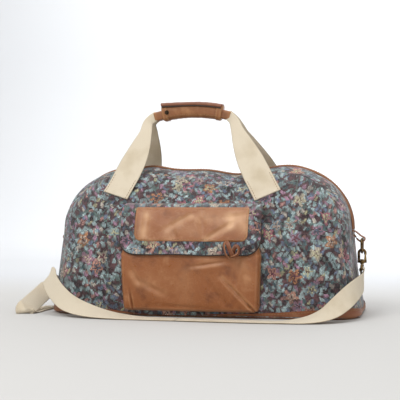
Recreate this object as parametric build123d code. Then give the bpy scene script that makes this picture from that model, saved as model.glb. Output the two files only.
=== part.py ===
import os
from math import asin, cos, degrees, pi, radians, sin, sqrt

from build123d import *

# Body: a soft dome whose ends flare towards the base
base_length = 538
base_depth = 226
waist_length = 500
bulge_depth = 242
bulge_height = 75
crown_height = 250
crown_width = 20
shoulder_radius = 105
base_edge = 8
panel_wall = 2.5
seam_inset = 12
flare_power = 1.6
corner_share = 0.52
flank_slice_shares = (0.24, 0.52, 0.76)
shoulder_slice_angles = (0, 18, 36, 52, 66, 78, 90)

# Leather base: its edge dips along the sides and rises at the corners
base_side_rise = 7
base_end_rise = 12
base_corner_rise = 28

# Zip over the crown
zip_width = 26
chain_width = 5.6
chain_height = 2
piping_width = 6.5
piping_height = 3.2
slider_angle = 28
slider_length = 13
slider_width = 10.4
slider_height = 4.6
slider_clearance = 0.4
lug_thickness = 1.2
lug_length = 4.4
lug_height = 3.4
pull_pin_radius = 0.8
pull_pin_height = 1.9
pull_barrel_radius = 1.7
pull_barrel_length = 4
pull_neck_length = 5
pull_length = 26
pull_width = 7.5
pull_thickness = 1.5
pull_hole_radius = 1.6
pin_clearance = 0.1
soft_clearance = 0.3

# Pocket on the front panel
pocket_shift = -7
pocket_width = 231
pocket_bottom = 10
pocket_mouth = 172
pocket_depth = 15
pocket_corner = 16
leather_wall = 2
flap_width = 238
flap_top = 189
flap_hinge = 12
flap_bottom = 103
flap_corner = 24
flap_wall = 2.4
inlay_width = 190
inlay_height = 58
inlay_drop = 5
inlay_corner = 9
inlay_wall = 1.4
toggle_x = 66
toggle_strip = 5
toggle_loop_radius = 7
toggle_spread = 6
toggle_wrap_radius = 5.5
toggle_wrap_length = 15

# Carrying handles and grip
webbing_width = 48
webbing_wall = 2.4
handle_spacing = 264
handle_shift = -16
handle_foot = 203
handle_folded_width = 17
handle_folded_wall = 5
grip_shift = -32
grip_height = 354
grip_length = 111
grip_radius = 260
grip_wall = 2.2
grip_corner_share = 0.42
sleeve_length = 138
core_overrun = 9
core_slack = 0.4
grip_steps = 8
sleeve_wall = 2
sleeve_corner = 2.4
sleeve_gap = 0.6
wrap_flap_width = 19
wrap_flap_wall = 2.4
stud_radius = 4
stud_height = 1.6
stud_end_inset = 11
leg_sweep_power = 1.15
leg_shares = (
    (0.06, 0.35, 0.1),
    (0.2, 0.8, 0.3),
    (0.4, 1, 0.45),
    (0.6, 1, 0.5),
    (0.74, 1, 0.65),
    (0.87, 1, 0.8),
    (1, 1, 0.6),
)

# Strap hardware at each end
tab_width = 25
tab_wall = 2.4
tab_root_top = 143
tab_root_height = 6
ring_bar_x = 266
ring_bar_z = 128
ring_wire_radius = 2
ring_half_width = 18
ring_corner = 5
hook_wire_radius = 2.4
hook_jaw_radius = 5.5
hook_length = 24.7
hook_tip_drop = 2.8
collar_radius = 8
collar_height = 4.5
collar_edge = 0.8
ear_thickness = 2
ear_length = 3.8
ear_height = 4.3
gate_width = 3.6
gate_thickness = 3.2
gate_boss_radius = 1.9
gate_pin_radius = 1
gate_pin_height = 2.2
gate_pin_overhang = 0.5
gate_pin_fit = 0.03
post_radius = 2
post_head_radius = 2.8
post_head_height = 1.5
eye_wire_radius = 1.9
eye_half_width = 18.9
eye_height = 8.5
eye_corner = 3
eye_shoulder_radius = 3.6
eye_shoulder_height = 1.6
eye_drop = 3

# Shoulder strap and the slide that locks its tail
strap_width = 32
strap_wall = 2.4
slide_drop = 15.5
slide_pitch = 6
slide_bar_radius = 1.6
slide_bar_offset = 4.7
slide_rail_width = 2.2
slide_rail_gap = 1
slide_rail_margin = 1

cut_overrun = 30
reach = 400

spring_height = crown_height - shoulder_radius
crown_half = waist_length / 2 - shoulder_radius
zip_half = zip_width / 2


def half_length(z):
    if z < spring_height:
        flare = (1 - z / spring_height) ** flare_power
        return (waist_length + (base_length - waist_length) * flare) / 2
    return crown_half + sqrt(shoulder_radius**2 - (z - spring_height) ** 2)


def half_depth(z):
    if z < bulge_height:
        swell = sin(pi / 2 * z / bulge_height)
        return (base_depth + (bulge_depth - base_depth) * swell) / 2
    rise = (z - bulge_height) / (crown_height - bulge_height)
    return (crown_width + (bulge_depth - crown_width) * sqrt(1 - rise**2)) / 2


def slice_heights():
    flanks = [share * spring_height for share in flank_slice_shares]
    shoulders = [spring_height + shoulder_radius * sin(radians(a)) for a in shoulder_slice_angles]
    shoulders[-1] = crown_height
    return [0, base_edge] + flanks + shoulders


def body(offset):
    """The dome, grown sideways by offset; a negative offset also lifts its floor and lowers its crown."""
    low = max(0, -offset)
    slices = []
    for z in slice_heights():
        inset = base_edge if z == 0 else 0
        half_x = half_length(z) + offset - inset
        half_y = half_depth(z) + offset - inset
        level = low + z * (crown_height - 2 * low) / crown_height
        slices.append(Plane.XY.offset(level) * RectangleRounded(2 * half_x, 2 * half_y, corner_share * half_y))
    return loft(slices)


def front_prism(outline, depth=reach, both=True):
    return extrude(Plane.XZ * outline, amount=depth, both=both)


def side_prism(outline, depth=reach):
    return extrude(Plane.YZ * outline, amount=depth, both=True)


def quarter_arc(centre_x, radius, side):
    half_turn = radius * sin(radians(45))
    return ThreePointArc(
        (side * (centre_x + radius), spring_height),
        (side * (centre_x + half_turn), spring_height + half_turn),
        (side * centre_x, spring_height + radius),
    )


def seam_arch():
    """Front outline of the front and back panels."""
    radius = shoulder_radius - seam_inset
    foot = base_length / 2 - seam_inset
    waist = crown_half + radius
    left = Polyline((-foot, -cut_overrun), (-foot, 0), (-waist, spring_height))
    right = Polyline((waist, spring_height), (foot, 0), (foot, -cut_overrun))
    top = Line((-crown_half, spring_height + radius), (crown_half, spring_height + radius))
    bottom = Line((foot, -cut_overrun), (-foot, -cut_overrun))
    curve = left + quarter_arc(crown_half, radius, -1) + top + quarter_arc(crown_half, radius, 1) + right + bottom
    return make_face(curve.edges())


def crown_band(low, high):
    """Front outline of a band that follows the crown between two heights above it."""
    inner = shoulder_radius + low
    outer = shoulder_radius + high
    curve = Line((-crown_half, spring_height + outer), (crown_half, spring_height + outer))
    curve += Line((-crown_half, spring_height + inner), (crown_half, spring_height + inner))
    for side in (-1, 1):
        curve += quarter_arc(crown_half, outer, side)
        curve += quarter_arc(crown_half, inner, side)
        curve += Line(
            (side * (crown_half + inner), spring_height), (side * (crown_half + outer), spring_height)
        )
    return make_face(curve.edges())


def dipped_outline(half_span, middle_rise):
    edge = ThreePointArc((-half_span, base_corner_rise), (0, middle_rise), (half_span, base_corner_rise))
    rest = Polyline(
        (half_span, base_corner_rise),
        (half_span, -cut_overrun),
        (-half_span, -cut_overrun),
        (-half_span, base_corner_rise),
    )
    return make_face((edge + rest).edges())


def slab(low, high):
    """A block that spans two opposite corners."""
    centre = [(a + b) / 2 for a, b in zip(low, high)]
    size = [b - a for a, b in zip(low, high)]
    return Pos(*centre) * Box(*size)


def body_panels(dome):
    shell = dome - body(-panel_wall)
    base_cut = front_prism(dipped_outline(base_length / 2 + cut_overrun, base_side_rise))
    base_cut &= side_prism(dipped_outline(base_depth / 2 + cut_overrun, base_end_rise))
    walls = shell - base_cut
    arch = front_prism(seam_arch())
    faces = walls & arch
    band = walls - arch
    front_half = slab((-reach, -reach, -reach), (reach, 0, reach))
    crown_front = slab((-reach, -reach, spring_height), (reach, -zip_half, reach))
    crown_rear = slab((-reach, zip_half, spring_height), (reach, reach, reach))
    left_end = slab((-reach, -reach, -reach), (0, reach, spring_height))
    right_end = slab((0, -reach, -reach), (reach, reach, spring_height))
    return {
        "base_panel": shell & base_cut,
        "front_panel": faces & front_half,
        "back_panel": faces - front_half,
        "front_crown_panel": band & crown_front,
        "rear_crown_panel": band & crown_rear,
        "left_end_panel": band & left_end,
        "right_end_panel": band & right_end,
    }


def zip_parts():
    piping_middle = zip_half - soft_clearance - piping_width / 2
    piping = front_prism(crown_band(0, piping_height), piping_width / 2)
    return {
        "zip_tape": front_prism(crown_band(-panel_wall, 0), zip_half),
        "zip_chain": front_prism(crown_band(0, chain_height), chain_width / 2),
        "front_zip_piping": Pos(0, -piping_middle, 0) * piping,
        "rear_zip_piping": Pos(0, piping_middle, 0) * piping,
    }


def zip_slider_parts():
    """Slider and pull, built at the top of the left shoulder, then turned down to where they park."""
    foot = crown_height + slider_clearance
    top = foot + slider_height
    half_x = slider_length / 2
    half_y = slider_width / 2
    slider = slab((-half_x, -half_y, foot), (half_x, half_y, top))
    slider = fillet(slider.faces().sort_by(Axis.Z)[-1].edges(), slider_height / 4)
    groove_half = chain_width / 2 + slider_clearance
    groove_top = crown_height + chain_height + slider_clearance
    slider -= slab((-reach, -groove_half, 0), (reach, groove_half, groove_top))
    lug_inner = pull_barrel_length / 2 + slider_clearance / 2
    for side in (-1, 1):
        lug_edges = sorted((side * lug_inner, side * (lug_inner + lug_thickness)))
        slider += slab((-lug_length / 2, lug_edges[0], top), (lug_length / 2, lug_edges[1], top + lug_height))
    pin_z = top + pull_pin_height
    across = Pos(0, 0, pin_z) * Rot(X=90)
    slider += across * Cylinder(pull_pin_radius, 2 * (lug_inner + lug_thickness))

    pull = across * Cylinder(pull_barrel_radius, pull_barrel_length)
    neck_half = pull_barrel_length / 2
    half_wall = pull_thickness / 2
    pull += slab((-pull_neck_length, -neck_half, pin_z - half_wall), (0, neck_half, pin_z + half_wall))
    pull_mid = -pull_neck_length - pull_length / 2
    plate = Pos(pull_mid, 0, pin_z - half_wall) * extrude(
        RectangleRounded(pull_length, pull_width, pull_width / 3), amount=pull_thickness
    )
    hole_x = -pull_neck_length - pull_length + pull_width / 2
    plate -= Pos(hole_x, 0, pin_z) * Cylinder(pull_hole_radius, pull_width)
    pull += plate
    pull -= across * Cylinder(pull_pin_radius + pin_clearance, slider_width)

    park = Pos(-crown_half, 0, spring_height) * Rot(Y=slider_angle - 90) * Pos(0, 0, -spring_height)
    return {"zip_slider": park * slider, "zip_pull": park * pull}


def pocket_outline(inset, top):
    width = pocket_width - 2 * inset
    low = pocket_bottom + inset
    block = Pos(0, (low + top) / 2) * RectangleRounded(width, top - low, pocket_corner - inset)
    square_top = Pos(0, top - pocket_corner / 2) * Rectangle(width, pocket_corner)
    return block + square_top


def pocket_parts(dome):
    pouch = front_prism(pocket_outline(0, pocket_mouth), both=False)
    pouch &= body(pocket_depth) - dome
    hollow = front_prism(pocket_outline(leather_wall, pocket_mouth + cut_overrun), both=False)
    pouch -= hollow & body(pocket_depth - leather_wall)

    flap_face = pocket_depth + soft_clearance
    under = body(flap_face)
    over = body(flap_face + flap_wall)
    flap_size = flap_top - flap_bottom
    flap_shape = Pos(0, (flap_top + flap_bottom) / 2) * Rectangle(flap_width, flap_size)
    flap_shape = fillet(flap_shape.vertices().group_by(Axis.Y)[0], flap_corner)
    hinge_shape = Pos(0, flap_top - flap_hinge / 2) * Rectangle(flap_width, flap_hinge)
    flap = front_prism(flap_shape, both=False) & (over - under)
    flap += front_prism(hinge_shape, both=False) & (over - dome)

    inlay_middle = flap_top - inlay_drop - inlay_height / 2
    inlay_shape = Pos(0, inlay_middle) * RectangleRounded(inlay_width, inlay_height, inlay_corner)
    inlay = front_prism(inlay_shape, both=False) & (body(flap_face + flap_wall + inlay_wall) - over)
    place = Pos(pocket_shift, 0, 0)
    return {"pocket_pouch": place * pouch, "pocket_flap": place * flap, "flap_inlay": place * inlay}


def toggle_knot():
    """A folded leather strip: two standing loops held by a wrapped middle, on the lower edge of the flap."""
    z = flap_bottom + toggle_wrap_radius
    lowest = z - toggle_loop_radius - toggle_strip
    flap_y = half_depth(lowest) + pocket_depth + soft_clearance + flap_wall
    y = -flap_y - toggle_wrap_radius - soft_clearance
    half_strip = toggle_strip / 2
    knot = Rot(X=90) * Torus(toggle_loop_radius, half_strip)
    left = Pos(-toggle_spread, 0, 0) * knot
    right = Pos(toggle_spread, 0, 0) * knot
    wrap = Cylinder(toggle_wrap_radius, toggle_wrap_length)
    return Pos(toggle_x, y, z) * (left + right + wrap)


def ribbon(stations):
    """A flat band through stations of (point, facing, width, thickness), with straight spans between them."""
    points = [Vector(*s[0]) for s in stations]
    sections = []
    for i, (_, facing, width, thickness) in enumerate(stations):
        ahead = points[min(i + 1, len(points) - 1)]
        behind = points[max(i - 1, 0)]
        along = (ahead - behind).normalized()
        facing = Vector(*facing)
        normal = (facing - along * facing.dot(along)).normalized()
        across = along.cross(normal)
        wide = across * (width / 2)
        thick = normal * (thickness / 2)
        centre = points[i]
        corners = (
            centre + wide + thick,
            centre - wide + thick,
            centre - wide - thick,
            centre + wide - thick,
        )
        sections.append(make_face(Polyline(*corners, close=True).edges()))
    return loft(sections, ruled=True)


def grip_arc(profile, length):
    """Bends a YZ profile along the grip's arc, evenly about its middle."""
    half_angle = degrees(asin(length / 2 / grip_radius))
    axis = Axis((grip_shift, 0, grip_height - grip_radius), (0, 1, 0))
    start = Plane.YZ * profile
    start = Pos(grip_shift, 0, grip_height) * start
    return revolve(start.rotate(axis, -half_angle), axis, 2 * half_angle)


def handle_offset():
    return (handle_folded_wall + 2 * sleeve_wall + sleeve_gap) / 2


def grip_stations():
    """The folded webbing inside the grip, from left to right."""
    half_angle = asin((sleeve_length / 2 + core_overrun) / grip_radius)
    stations = []
    for i in range(grip_steps + 1):
        angle = half_angle * (2 * i / grip_steps - 1)
        x = grip_shift + grip_radius * sin(angle)
        z = grip_height - grip_radius * (1 - cos(angle))
        folded_width = handle_folded_width - core_slack
        folded_wall = handle_folded_wall - core_slack
        stations.append(((x, -handle_offset(), z), (0, -1, 0), folded_width, folded_wall))
    return stations


def leg_stations(start, side):
    """One leg, from the grip down to its sewn foot."""
    start_x, start_y, start_z = start
    foot_x = handle_shift + side * handle_spacing / 2
    foot_y = -half_depth(handle_foot) - webbing_wall
    stations = []
    # share of the way down, how far the width has opened, and how far the face leans up
    for drop_share, open_share, lean_share in leg_shares:
        x = start_x + (foot_x - start_x) * drop_share**leg_sweep_power
        z = start_z + (handle_foot - start_z) * drop_share
        clear = half_depth(z) + webbing_wall if z < crown_height - webbing_wall else 0
        y = min(start_y + (foot_y - start_y) * drop_share, -clear)
        width = handle_folded_width + (webbing_width - handle_folded_width) * open_share
        wall = handle_folded_wall + (webbing_wall - handle_folded_wall) * open_share
        stations.append(((x, y, z), (0, -1, lean_share), width, wall))
    return stations


def handle(dome):
    """Front webbing handle: folded along the grip, spreading flat down each leg to its sewn foot."""
    middle = grip_stations()
    left = leg_stations(middle[0][0], -1)
    right = leg_stations(middle[-1][0], 1)
    return ribbon(left[::-1] + middle + right) - dome


def sleeve():
    """Rolled leather round the front handle's folded webbing."""
    y = -handle_offset()
    inner = Rectangle(handle_folded_wall, handle_folded_width)
    outer = RectangleRounded(handle_folded_wall + 2 * sleeve_wall, handle_folded_width + 2 * sleeve_wall, sleeve_corner)
    return grip_arc(Pos(y, 0) * (outer - inner), sleeve_length)


def grip_size():
    depth = 2 * (handle_folded_wall + 2 * sleeve_wall + sleeve_gap) + 2 * soft_clearance
    height = handle_folded_width + 2 * sleeve_wall + 2 * soft_clearance
    return depth, height


def grip_wrap():
    """Leather wrapped round both sleeves, its free edge lying on top as a flap."""
    depth, height = grip_size()
    inner = Rectangle(depth, height)
    outer_depth = depth + 2 * grip_wall
    outer_height = height + 2 * grip_wall
    outer = RectangleRounded(outer_depth, outer_height, grip_corner_share * outer_depth / 2)
    flap = Pos(0, outer_height / 2) * Rectangle(wrap_flap_width, 2 * wrap_flap_wall)
    return grip_arc(outer + flap - inner, grip_length)


def grip_stud():
    depth, height = grip_size()
    angle = degrees(asin((grip_length / 2 - stud_end_inset) / grip_radius))
    cap = Pos(0, -depth / 2 - grip_wall - stud_height / 2, grip_radius) * Rot(X=90) * Cylinder(stud_radius, stud_height)
    cap = fillet(cap.edges().sort_by(Axis.Y)[0], stud_height / 2)
    return Pos(grip_shift, 0, grip_height - grip_radius) * Rot(Y=-angle) * cap


def ring_tab(dome):
    """Leather tab folded round the ring's bar and sewn into the seam at the zip's end."""
    bend = ring_wire_radius + soft_clearance + tab_wall
    root_x = half_length(tab_root_top) - panel_wall
    root = Pos(root_x, tab_root_top - tab_root_height / 2) * Rectangle(panel_wall, tab_root_height)
    loop = Pos(ring_bar_x, ring_bar_z) * Circle(bend)
    outline = make_hull((root + loop).edges())
    outline -= Pos(ring_bar_x, ring_bar_z) * Circle(ring_wire_radius + soft_clearance)
    return front_prism(outline, tab_width / 2) - dome


def wire_loop(half_width, corner, drop, wire_radius, round_foot):
    """A closed loop of round wire in the YZ plane, hanging from a bar through the origin."""
    bend = corner * sin(radians(45))
    bar = half_width - corner
    path = Line((0, 0), (bar, 0))
    path += ThreePointArc((bar, 0), (bar + bend, bend - corner), (half_width, -corner))
    if round_foot:
        path += ThreePointArc((half_width, -corner), (0, -corner - half_width), (-half_width, -corner))
    else:
        foot = -drop + corner
        path += Line((half_width, -corner), (half_width, foot))
        path += ThreePointArc((half_width, foot), (bar + bend, foot - bend), (bar, -drop))
        path += Line((bar, -drop), (-bar, -drop))
        path += ThreePointArc((-bar, -drop), (-bar - bend, foot - bend), (-half_width, foot))
        path += Line((-half_width, foot), (-half_width, -corner))
    path += ThreePointArc((-half_width, -corner), (-bar - bend, bend - corner), (-bar, 0))
    path += Line((-bar, 0), (0, 0))
    wire = Plane.YZ * path
    section = Plane.XZ * Circle(wire_radius)
    return sweep(section, path=Wire(wire.edges()))


def ring_foot_z():
    return ring_bar_z - ring_corner - ring_half_width


def hook_levels():
    """Heights of the hook: nose line, jaw centre, collar top and collar foot."""
    nose = ring_foot_z() + ring_wire_radius + soft_clearance + hook_wire_radius
    jaw = nose - hook_jaw_radius
    collar_foot = nose + hook_wire_radius - hook_length
    return nose, jaw, collar_foot + collar_height, collar_foot


def snap_hook():
    nose, jaw, collar_top, collar_foot = hook_levels()
    tip = jaw - hook_tip_drop
    path = Line((-hook_jaw_radius, collar_top - collar_edge), (-hook_jaw_radius, jaw))
    path += ThreePointArc((-hook_jaw_radius, jaw), (0, nose), (hook_jaw_radius, jaw))
    path += Line((hook_jaw_radius, jaw), (hook_jaw_radius, tip))
    wire = Wire((Plane.XZ * path).edges())
    start = Plane((-hook_jaw_radius, 0, collar_top - collar_edge), z_dir=(0, 0, 1))
    hook = sweep(start * Circle(hook_wire_radius), path=wire)
    collar = Pos(0, 0, collar_foot + collar_height / 2) * Cylinder(collar_radius, collar_height)
    hook += fillet(collar.edges().filter_by(GeomType.CIRCLE), collar_edge)
    ear_inner = gate_width / 2 + soft_clearance
    ear_low = hook_jaw_radius - ear_length / 2
    for side in (-1, 1):
        edges = sorted((side * ear_inner, side * (ear_inner + ear_thickness)))
        hook += slab(
            (ear_low, edges[0], collar_top - collar_edge),
            (ear_low + ear_length, edges[1], collar_top + ear_height),
        )
    pin_axis = Pos(hook_jaw_radius, 0, collar_top + gate_pin_height) * Rot(X=90)
    hook -= pin_axis * Cylinder(gate_pin_radius + gate_pin_fit, 2 * collar_radius)
    hook -= Pos(0, 0, collar_foot) * Cylinder(post_radius + pin_clearance, 4 * collar_height)
    return Pos(ring_bar_x, 0, 0) * hook


def hook_gate():
    nose, jaw, collar_top, collar_foot = hook_levels()
    pin_z = collar_top + gate_pin_height
    pin_axis = Pos(hook_jaw_radius, 0, pin_z) * Rot(X=90)
    half_x = gate_thickness / 2
    half_y = gate_width / 2
    top = jaw - hook_tip_drop - soft_clearance
    gate = slab((hook_jaw_radius - half_x, -half_y, pin_z), (hook_jaw_radius + half_x, half_y, top))
    gate += pin_axis * Cylinder(gate_boss_radius, gate_width)
    gate -= pin_axis * Cylinder(gate_pin_radius + pin_clearance, 2 * gate_width)
    return Pos(ring_bar_x, 0, 0) * gate


def gate_pin():
    nose, jaw, collar_top, collar_foot = hook_levels()
    length = gate_width + 2 * (soft_clearance + ear_thickness + gate_pin_overhang)
    pin = Rot(X=90) * Cylinder(gate_pin_radius, length)
    return Pos(ring_bar_x + hook_jaw_radius, 0, collar_top + gate_pin_height) * pin


def eye_bar_z():
    return hook_levels()[3] - eye_drop - eye_height


def swivel_eye():
    """Rectangular wire eye hanging from a riveted post that turns in the hook's collar."""
    nose, jaw, collar_top, collar_foot = hook_levels()
    bar_z = eye_bar_z() + eye_height
    eye = Pos(0, 0, bar_z) * wire_loop(eye_half_width, eye_corner, eye_height, eye_wire_radius, False)
    shoulder_top = collar_foot - pin_clearance
    shoulder = slab_disc(eye_shoulder_radius, shoulder_top - eye_shoulder_height, shoulder_top)
    head_foot = collar_top + pin_clearance
    post = slab_disc(post_radius, bar_z, head_foot + post_head_height)
    head = slab_disc(post_head_radius, head_foot, head_foot + post_head_height)
    return Pos(ring_bar_x, 0, 0) * (eye + shoulder + post + head)


def slab_disc(radius, low, high):
    return Pos(0, 0, (low + high) / 2) * Cylinder(radius, high - low)


def d_ring():
    loop = wire_loop(ring_half_width, ring_corner, 0, ring_wire_radius, True)
    return Pos(ring_bar_x, 0, ring_bar_z) * loop


def strap_slide():
    """Three-bar slide on the left: the strap's two layers run between its outer bars and its middle bar."""
    middle_z = eye_bar_z() - slide_drop
    inner_half = strap_width / 2 + slide_rail_gap
    bar = Rot(X=90) * Cylinder(slide_bar_radius, 2 * inner_half + slide_rail_width)
    slide = Pos(-ring_bar_x + slide_bar_offset, 0, middle_z) * bar
    for step in (-1, 1):
        slide += Pos(-ring_bar_x - slide_bar_offset, 0, middle_z + step * slide_pitch) * bar
    half_x = slide_bar_offset + slide_bar_radius + slide_rail_margin
    half_z = slide_pitch + slide_bar_radius + slide_rail_margin
    for side in (-1, 1):
        edges = sorted((side * inner_half, side * (inner_half + slide_rail_width)))
        rail = slab((-half_x, edges[0], -half_z), (half_x, edges[1], half_z))
        rail = fillet(rail.edges().filter_by(Axis.Y), slide_bar_radius)
        slide += Pos(-ring_bar_x, 0, middle_z) * rail
    return slide


# Route of the shoulder strap: a point, and the way the webbing's face looks there. It starts at the sewn
# end on the right, runs along the floor in front and ends in the loose tail on the left.
strap_route = (
    ((264.7, 0, 50), (-1, 0, 0)),
    ((264.7, 0, 68), (-1, 0, 0)),
    ((262.6, 0, 76), (-1, 0, 0)),
    ((263.6, 0, 78.4), (-1, 0, 1)),
    ((266, 0, 79.4), (0, 0, 1)),
    ((268.4, 0, 78.4), (1, 0, 1)),
    ((269.4, 0, 76), (1, 0, 0)),
    ((267.5, 0, 68), (1, 0, 0)),
    ((268.4, -5, 58), (1, 0, 0)),
    ((269.4, -20, 50), (1, 0, 0)),
    ((269.6, -45, 47), (1, -0.15, 0.05)),
    ((266, -77, 46), (0.85, -0.5, 0.15)),
    ((257, -104, 42), (0.6, -0.7, 0.35)),
    ((242, -127, 29), (0.35, -0.65, 0.6)),
    ((221, -147, 15), (0.1, -0.5, 0.85)),
    ((192, -159, 6), (0, -0.25, 0.97)),
    ((150, -164, 1.8), (0, 0, 1)),
    ((95, -166, 1.5), (0, 0, 1)),
    ((40, -165, 1.5), (0, 0, 1)),
    ((-20, -163, 1.5), (0, 0, 1)),
    ((-80, -161, 1.8), (0, -0.03, 1)),
    ((-130, -160, 5), (-0.02, -0.2, 0.97)),
    ((-175, -156, 12), (-0.1, -0.5, 0.85)),
    ((-212, -144, 22), (-0.3, -0.65, 0.65)),
    ((-239, -127, 36), (-0.5, -0.7, 0.45)),
    ((-258, -104, 47), (-0.65, -0.65, 0.35)),
    ((-267, -75, 41), (-0.9, -0.4, 0.1)),
    ((-269.4, -46, 32), (-1, -0.1, 0)),
    ((-269.6, -22, 31), (-1, 0, 0)),
    ((-267.4, -7, 37), (-1, 0, 0)),
    ((-265.4, -1, 46), (-1, 0, 0)),
    ((-264.7, 0, 52), (-1, 0, 0)),
    ((-264.7, 0, 69), (-1, 0, 0)),
    ((-262.6, 0, 76), (-1, 0, 0)),
    ((-263.6, 0, 78.4), (-1, 0, -1)),
    ((-266, 0, 79.4), (0, 0, -1)),
    ((-268.4, 0, 78.4), (1, 0, -1)),
    ((-269.4, 0, 76), (1, 0, 0)),
    ((-267.3, 0, 69), (1, 0, 0)),
    ((-267.3, 0, 50), (1, 0, 0)),
    ((-267.6, 0, 45), (1, 0, 0)),
    ((-270, -0.5, 39), (0.8, 0, -0.5)),
    ((-276, -2, 34.5), (0.5, 0, -0.85)),
    ((-284, -6, 32), (0.1, 0, -1)),
    ((-292, -14, 30.5), (0, 0, -1)),
    ((-299, -30, 28.5), (0, 0, -1)),
    ((-304, -55, 26), (0, 0, -1)),
    ((-306, -80, 23), (0, 0, -1)),
    ((-305, -103, 19.5), (0, 0, -1)),
    ((-303, -120, 15), (0, 0.6, -0.8)),
    ((-301, -128, 8), (0, 1, 0)),
    ((-299, -122, 2.4), (0, 0.6, 0.8)),
    ((-297, -103, 1.5), (0, 0, 1)),
    ((-296, -75, 1.5), (0, 0, 1)),
    ((-295, -40, 1.5), (0, 0, 1)),
    ((-293, -8, 1.5), (0, 0, 1)),
)


def shoulder_strap():
    return ribbon([(point, facing, strap_width, strap_wall) for point, facing in strap_route])


def mirrored(make, name, *args):
    """A piece of the right-hand end and its twin on the left."""
    right = make(*args)
    return {"right_" + name: right, "left_" + name: mirror(right, about=Plane.YZ)}


def all_parts():
    dome = body(0)
    parts = body_panels(dome)
    parts |= zip_parts()
    parts |= zip_slider_parts()
    parts |= pocket_parts(dome)
    parts["toggle_knot"] = toggle_knot()
    front_handle = handle(dome)
    parts["front_handle"] = front_handle
    parts["rear_handle"] = mirror(front_handle, about=Plane.XZ)
    front_sleeve = sleeve()
    parts["front_sleeve"] = front_sleeve
    parts["rear_sleeve"] = mirror(front_sleeve, about=Plane.XZ)
    parts["grip_wrap"] = grip_wrap()
    parts["grip_stud"] = grip_stud()
    parts |= mirrored(ring_tab, "ring_tab", dome)
    parts |= mirrored(d_ring, "d_ring")
    parts |= mirrored(snap_hook, "snap_hook")
    parts |= mirrored(hook_gate, "hook_gate")
    parts |= mirrored(gate_pin, "gate_pin")
    parts |= mirrored(swivel_eye, "swivel_eye")
    parts["strap_slide"] = strap_slide()
    parts["shoulder_strap"] = shoulder_strap()
    return parts


os.makedirs("parts", exist_ok=True)
for name, piece in all_parts().items():
    export_step(piece, os.path.join("parts", name + ".step"))
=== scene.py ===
from math import asin, cos, exp, pi, radians, sin, sqrt

import bpy
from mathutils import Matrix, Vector, noise


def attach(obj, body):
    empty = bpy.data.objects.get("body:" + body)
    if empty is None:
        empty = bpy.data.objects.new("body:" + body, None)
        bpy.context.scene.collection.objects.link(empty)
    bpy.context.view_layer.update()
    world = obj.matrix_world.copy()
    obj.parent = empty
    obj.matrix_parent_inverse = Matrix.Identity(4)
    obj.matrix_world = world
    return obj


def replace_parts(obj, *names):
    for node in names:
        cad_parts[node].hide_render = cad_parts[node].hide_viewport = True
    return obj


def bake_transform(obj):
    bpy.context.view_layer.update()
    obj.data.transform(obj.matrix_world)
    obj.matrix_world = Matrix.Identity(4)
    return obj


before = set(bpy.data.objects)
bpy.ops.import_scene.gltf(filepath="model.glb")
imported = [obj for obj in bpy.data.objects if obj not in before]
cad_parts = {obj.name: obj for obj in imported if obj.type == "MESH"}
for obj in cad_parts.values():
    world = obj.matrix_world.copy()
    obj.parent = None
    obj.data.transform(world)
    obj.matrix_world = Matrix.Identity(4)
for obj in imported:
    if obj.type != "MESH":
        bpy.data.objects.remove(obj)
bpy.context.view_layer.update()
mm = 0.001
print("frame loaded")


def linear(hexColour):
    channels = []
    for i in (0, 2, 4):
        c = int(hexColour[i : i + 2], 16) / 255
        channels.append(c / 12.92 if c <= 0.04045 else ((c + 0.055) / 1.055) ** 2.4)
    return (*channels, 1)


def clamp(value):
    return max(0, min(1, value))


def bell(off, wide):
    return exp(-((off / wide) ** 2))


# the rise of a rounded edge, from 0 at its rim to 1
def rounded(share):
    return sqrt(max(0, 1 - (1 - share) ** 2))


def noiseAt(x, y, z):
    return noise.noise(Vector((x, y, z)))


def addNode(tree, kind, inputs, ramp=None, steps="LINEAR", **settings):
    node = tree.nodes.new("ShaderNode" + kind)
    for key, value in settings.items():
        setattr(node, key, value)
    for key, value in inputs.items():
        if isinstance(value, bpy.types.NodeSocket):
            tree.links.new(value, node.inputs[key])
        else:
            node.inputs[key].default_value = value
    if ramp:
        node.color_ramp.interpolation = steps
        stops = node.color_ramp.elements
        while len(stops) < len(ramp):
            stops.new(1)
        for stop, (place, colour) in zip(stops, ramp):
            stop.position = place
            stop.color = linear(colour)
    return node.outputs


def newMaterial(name):
    material = bpy.data.materials.new(name)
    material.use_nodes = True
    tree = material.node_tree
    tree.nodes.clear()
    return material, tree


def finishMaterial(tree, colour, roughness, height, bumpDepth, **extra):
    bump = addNode(tree, "Bump", {"Height": height, "Strength": 1.0, "Distance": bumpDepth})[0]
    inputs = {"Base Color": colour, "Roughness": roughness, "Normal": bump}
    inputs.update({key.replace("_", " "): value for key, value in extra.items()})
    shader = addNode(tree, "BsdfPrincipled", inputs)[0]
    addNode(tree, "OutputMaterial", {"Surface": shader})


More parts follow.
